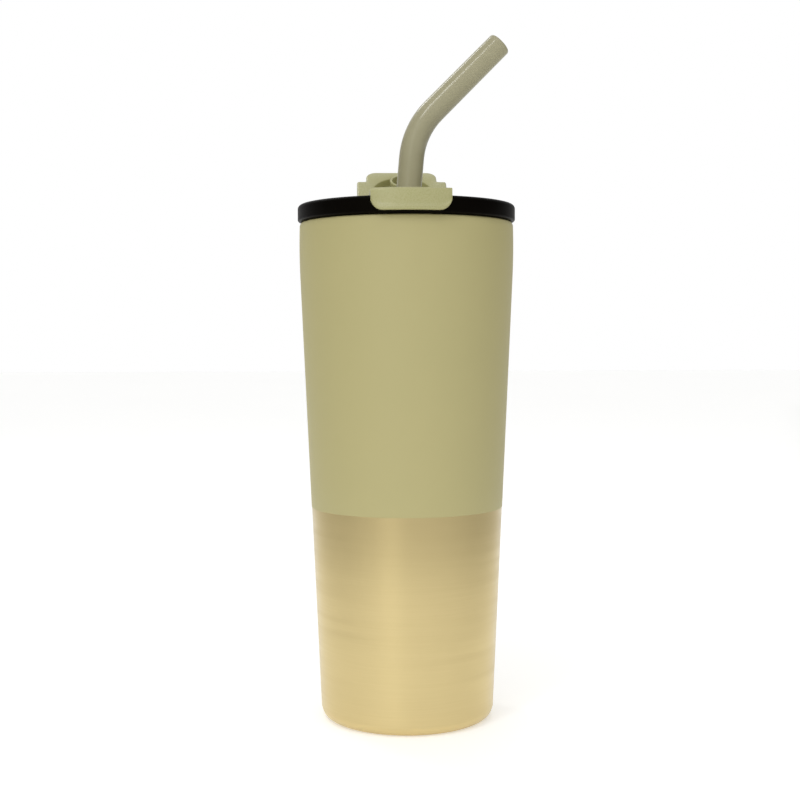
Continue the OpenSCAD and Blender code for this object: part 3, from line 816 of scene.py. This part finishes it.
def flap():
    """Flap with rounded edges, a hollow underside and two lugs on the hinge pin."""
    edge, pocket = flap_edge(), pocket_edge()
    floor = UNDER_W + HOLLOW_DEPTH
    loops = []
    for d, w in ((4.0, floor), (0.9, floor), (0.27, floor - 0.27), (0, floor - 0.9),
                 (0, UNDER_W + 0.5), (-0.15, UNDER_W + 0.15), (-0.5, UNDER_W)):
        loops.append([(x, u, w) for x, u in inset(pocket, d)])
    for d, rise in ((0.9, 0), (0.45, 0.12), (0.12, 0.45), (0, 0.9)):
        loops.append([(x, u, UNDER_W + rise) for x, u in inset(edge, d)])
    for d, drop in ((0, 1.2), (0.16, 0.6), (0.6, 0.16), (1.2, 0)):
        loops.append([(x, u, flap_top(u) - drop) for x, u in inset(edge, d)])
    span = (FLAP_LEN - 5.5 - 9) / (FLAP_LEN - HEEL_U)
    loops.append([(0.72 * x, 9 + (u - HEEL_U) * span, UNDER_W + FLAP_T) for x, u in edge])
    shells = [loft("plate", loops)]
    for side in (-1, 1):
        profile = arc(0, 0, KNUCKLE_R, 90, 330, 20)
        profile += [(5.0, 0.5), (6.4, 3.2), (6.4, 5.0), (3.0, 4.7)]
        lug = loft("lug", [[(side * x, u, w) for u, w in profile]
                           for x in (KNUCKLE_HALF + 0.3, BAR_HALF)])
        shells.append(soften(lug, 0.4))
    # Each shell is cut by itself, because the cut drops lugs that overlap the plate.
    high, low, back, half = DECK_TOP + 0.1, DECK_TOP - 19.9, 60, 40
    for shell in shells:
        place(shell, FLAP_TURN).data.flip_normals()
        cut(shell, loft("below", [[(x, 0, high), (x, back, high), (x, back, low), (x, 0, low)]
                                  for x in (-half, half)]))
    return finish_piece(join("flap", *shells), "flap", "pale_green_plastic", GREEN, "flap_shell")


def ring_plug():
    """Soft ring that closes the straw hole when the flap is shut."""
    tip, root = UNDER_W - PLUG_PROUD, UNDER_W + HOLLOW_DEPTH
    wall = PLUG_R - PLUG_WALL
    outline = [(AXIS_R, root), (PLUG_R, root), (PLUG_R, tip + 1.0)]
    outline += arc(PLUG_R - 0.5, tip + 0.5, 0.5, 0, -90, 5)
    outline += arc(wall + 0.4, tip + 0.4, 0.4, -90, -180, 5)
    outline += [(wall, root - 1.6), (wall - 0.6, root - 1.0), (AXIS_R, root - 1.0)]
    obj = place(lathe("ring_plug", outline, 96, (0, PLUG_U)), FLAP_TURN)
    obj.data.flip_normals()
    return finish_piece(obj, "flap", "green_silicone", GREEN_SILICONE, "flap_plug")


flap()
ring_plug()


# ---------------------------------------------------------------- straw and mouthpiece

ON_STRAW = Matrix.Translation(PIVOT) @ Matrix.Rotation(LEAN, 4, "Y")


def straw():
    """Drawn steel tube with deburred ends."""
    low = -(PIVOT.z - FLOOR_Z - SHEET - 4) / math.cos(LEAN)
    outline = [(TUBE_R - TUBE_WALL, low + 0.15), (TUBE_R - 0.15, low), (TUBE_R, low + 0.15)]
    outline += [(TUBE_R, z) for z in heights(low + 20, TUBE_TOP - 5, 8)]
    outline += [(TUBE_R, TUBE_TOP - 0.15), (TUBE_R - 0.15, TUBE_TOP),
                (TUBE_R - TUBE_WALL, TUBE_TOP)]
    obj = place(lathe("straw", outline, 64), ON_STRAW)
    return finish_piece(obj, "straw", "straw_steel", TUBE, "straw_tube")


def stop_ring():
    """Silicone ring that rests in the grommet's seat."""
    seat = HINGE.z + UNDER_W - PLUG_PROUD - 0.1 - PIVOT.z + MOUTH_FOOT_R * math.sin(LEAN) + 0.2
    outer, ceiling = TUBE_R + 0.9, MOUTH_FOOT - 0.1
    outline = [(TUBE_R + 0.01, seat)] + arc(outer - 0.4, seat + 0.4, 0.4, -90, 0, 4)
    outline += arc(outer - 0.2, ceiling - 0.2, 0.2, 0, 90, 4) + [(TUBE_R + 0.01, ceiling)]
    obj = place(lathe("stop_ring", outline, 64), ON_STRAW)
    return finish_piece(obj, "straw", "straw_silicone", STRAW_SILICONE, "straw_stop")


def along_mouthpiece(s):
    """Point at the length s along the mouthpiece, and its angle from the straw's axis."""
    if s <= BEND_START:
        return Vector((0, 0, s)), 0.0
    turn = min(BEND, (s - BEND_START) / BEND_R)
    point = Vector((BEND_R * (1 - math.cos(turn)), 0, BEND_START + BEND_R * math.sin(turn)))
    rest = s - BEND_START - BEND_R * BEND
    if rest > 0:
        point += rest * Vector((math.sin(BEND), 0, math.cos(BEND)))
    return point, turn


def mouthpiece():
    """Bent silicone tube that narrows a little and ends in a soft rounded tip."""
    end = BEND_START + BEND_R * BEND + TIP_LEN
    tip = 1.2

    def outer(s):
        past = max(0.0, s - BEND_START - BEND_R * BEND) / TIP_LEN
        return MOUTH_FOOT_R + (MOUTH_TIP_R - MOUTH_FOOT_R) * past

    steps = [(MOUTH_FOOT, TUBE_R + 0.06), (MOUTH_FOOT, MOUTH_FOOT_R - 0.3),
             (MOUTH_FOOT + 0.3, MOUTH_FOOT_R)]
    steps += [(s, outer(s)) for s in heights(MOUTH_FOOT + 2, end - tip, 60)]
    steps += [(end - tip + tip * math.sin(a), MOUTH_TIP_R - tip + tip * math.cos(a))
              for a in (math.radians(d) for d in (15, 30, 45, 60, 75, 90))]
    steps += [(end, CHANNEL_R + 0.3), (end - 0.3, CHANNEL_R)]
    steps += [(s, CHANNEL_R) for s in heights(end - 2, TUBE_TOP + 0.4, 50)]
    steps += [(TUBE_TOP + 0.4, TUBE_R + 0.06)]
    loops = []
    for s, r in steps:
        point, turn = along_mouthpiece(s)
        side, out = Vector((math.cos(turn), 0, -math.sin(turn))), Vector((0, 1, 0))
        loops.append([point + r * (math.cos(a) * side + math.sin(a) * out)
                      for a in (2 * math.pi * k / 64 for k in range(64))])
    obj = place(loft("mouthpiece_tube", loops, closed=True), ON_STRAW)
    return finish_piece(obj, "mouthpiece", "straw_silicone", STRAW_SILICONE, "mouthpiece")


straw()
stop_ring()
mouthpiece()


# ---------------------------------------------------------------- pieces that keep their shape

KEPT = {
    "base_plate": SPUN, "getter_clip": SPUN, "hinge_pin": TUBE, "lid_liner": BLACK,
    "vacuum_seal": fused_glass(), "getter": sintered_metal(), "copper_foil": copper_foil(),
}
for node, material in KEPT.items():
    NODES[node].data.materials.clear()
    NODES[node].data.materials.append(material)


# ---------------------------------------------------------------- floor, light and camera


FLOOR_GLOW = 0.38


def floor():
    """Plain pale sheet that the cup stands on. It glows faintly in front of the cup, so that the
    metal has something bright to reflect, and far away."""
    half = 6000
    obj = loft("floor", [[(-half, y, -20), (half, y, -20), (half, y, -0.02), (-half, y, -0.02)]
                         for y in (-half, half)])
    material, tree, shader = start_material("painted_board_white", Roughness=0.7)
    tree.links.new(tint(tree, noise(tree, place_on(tree), 400, 2), "#F4F4F2", "#F8F8F6"),
                   shader.inputs["Base Color"])
    shader.inputs["Emission Color"].default_value = (1, 1, 1, 1)
    at = place_on(tree)
    axes = add(tree, "ShaderNodeSeparateXYZ", inputs={"Vector": at}).outputs
    in_front = smooth_step(tree, axes["Y"], -0.47, -0.11, 0.0, 1.0)
    out = add(tree, "ShaderNodeMath", {"operation": "ABSOLUTE"}, {0: axes["X"]}).outputs["Value"]
    spill = add(tree, "ShaderNodeMath", {"operation": "MULTIPLY_ADD"}, {
        0: axes["Y"], 1: -0.33, 2: out}).outputs["Value"]
    beside = smooth_step(tree, spill, 0.15, 0.50, 1.0, 0.0)
    near = add(tree, "ShaderNodeMath", {"operation": "MULTIPLY"}, {
        0: in_front, 1: beside}).outputs["Value"]
    away = add(tree, "ShaderNodeVectorMath", {"operation": "LENGTH"}, {0: at}).outputs["Value"]
    far = smooth_step(tree, away, 0.9, 3.0, 0.0, 1.0)
    glow = add(tree, "ShaderNodeMath", {"operation": "MAXIMUM"}, {0: near, 1: far}).outputs["Value"]
    strength = add(tree, "ShaderNodeMath", {"operation": "MULTIPLY"}, {
        0: glow, 1: FLOOR_GLOW}).outputs["Value"]
    tree.links.new(strength, shader.inputs["Emission Strength"])
    obj.data.materials.append(material)


def direction(azimuth, elevation):
    """Unit vector out from the cup. Azimuth 0 is in front and 90 is on the right."""
    a, e = math.radians(azimuth), math.radians(elevation)
    return Vector((math.sin(a) * math.cos(e), -math.cos(a) * math.cos(e), math.sin(e)))


def softbox(name, azimuth, elevation, distance, size, power):
    """White area light that faces the middle of the cup."""
    light = bpy.data.lights.new(name, "AREA")
    light.shape = "RECTANGLE"
    light.size, light.size_y = size
    light.energy = power
    obj = bpy.data.objects.new(name, light)
    bpy.context.scene.collection.objects.link(obj)
    back = direction(azimuth, elevation)
    obj.location = Vector((0, 0, 0.12)) + distance * back
    obj.rotation_mode = "QUATERNION"
    obj.rotation_quaternion = (-back).to_track_quat("-Z", "Y")


def lobe(tree, towards, azimuth, elevation, start, gain):
    """Light added from around one direction, fading out where the cosine falls to start."""
    side = add(tree, "ShaderNodeVectorMath", {"operation": "DOT_PRODUCT"}, {
        0: towards, 1: direction(azimuth, elevation)}).outputs["Value"]
    return smooth_step(tree, side, start, 1.0, 0.0, gain)


ROOM_LEVEL = 0.27
# Azimuth, elevation, cosine where it fades out, and light added: front, right, top, back, left
ROOM_LOBES = ((0, 0, 0.15, 0.46), (106, 0, 0.6, -0.22), (0, 90, 0.2, 0.39),
              (180, 10, 0.3, 0.42), (-102, 0, 0.6, -0.14))


def room():
    """White studio, brighter in front and darker at the sides."""
    world = bpy.data.worlds.new("studio")
    bpy.context.scene.world = world
    world.use_nodes = True
    tree = world.node_tree
    tree.nodes.clear()
    towards = add(tree, "ShaderNodeTexCoord").outputs["Generated"]
    level = ROOM_LEVEL
    for azimuth, elevation, start, gain in ROOM_LOBES:
        level = add(tree, "ShaderNodeMath", {"operation": "ADD"}, {
            0: level, 1: lobe(tree, towards, azimuth, elevation, start, gain)}).outputs["Value"]
    white = (1, 1, 1, 1)
    lit, seen = (add(tree, "ShaderNodeBackground", inputs={
        "Color": white, "Strength": strength}).outputs[0] for strength in (level, 1.0))
    direct = add(tree, "ShaderNodeLightPath").outputs["Is Camera Ray"]
    mixed = add(tree, "ShaderNodeMixShader", inputs={0: direct, 1: lit, 2: seen}).outputs[0]
    add(tree, "ShaderNodeOutputWorld", inputs={"Surface": mixed})


def camera():
    """View from in front, a touch to the left and slightly downwards."""
    azimuth, distance, eye, pitch, yaw, roll = -2.56, 547.3, 157.8, 2.6465, 0.2926, -0.14
    data = bpy.data.cameras.new("view")
    data.sensor_width = 36
    data.lens = 58.908
    data.clip_start, data.clip_end = 0.01, 50
    obj = bpy.data.objects.new("view", data)
    a = math.radians(azimuth)
    obj.location = Vector((math.sin(a) * distance, -math.cos(a) * distance, eye)) * MM
    tilt = Matrix.Rotation(math.radians(90 - pitch), 4, "X")
    turn = Matrix.Rotation(a + math.radians(yaw), 4, "Z") @ tilt
    obj.rotation_mode = "QUATERNION"
    obj.rotation_quaternion = (turn @ Matrix.Rotation(math.radians(roll), 4, "Z")).to_quaternion()
    bpy.context.scene.collection.objects.link(obj)
    bpy.context.scene.camera = obj


floor()
room()
softbox("key", -21, 14, 1.4, (0.48, 0.8), 0.9)
softbox("overhead", 0, 68, 1.4, (1.0, 0.8), 1.5)
softbox("upper", -34, 44, 1.38, (0.24, 0.36), 2.4)
softbox("strip", -140, 48, 1.37, (0.2, 0.3), 1.3)
camera()
bpy.context.scene.view_settings.view_transform = "Standard"
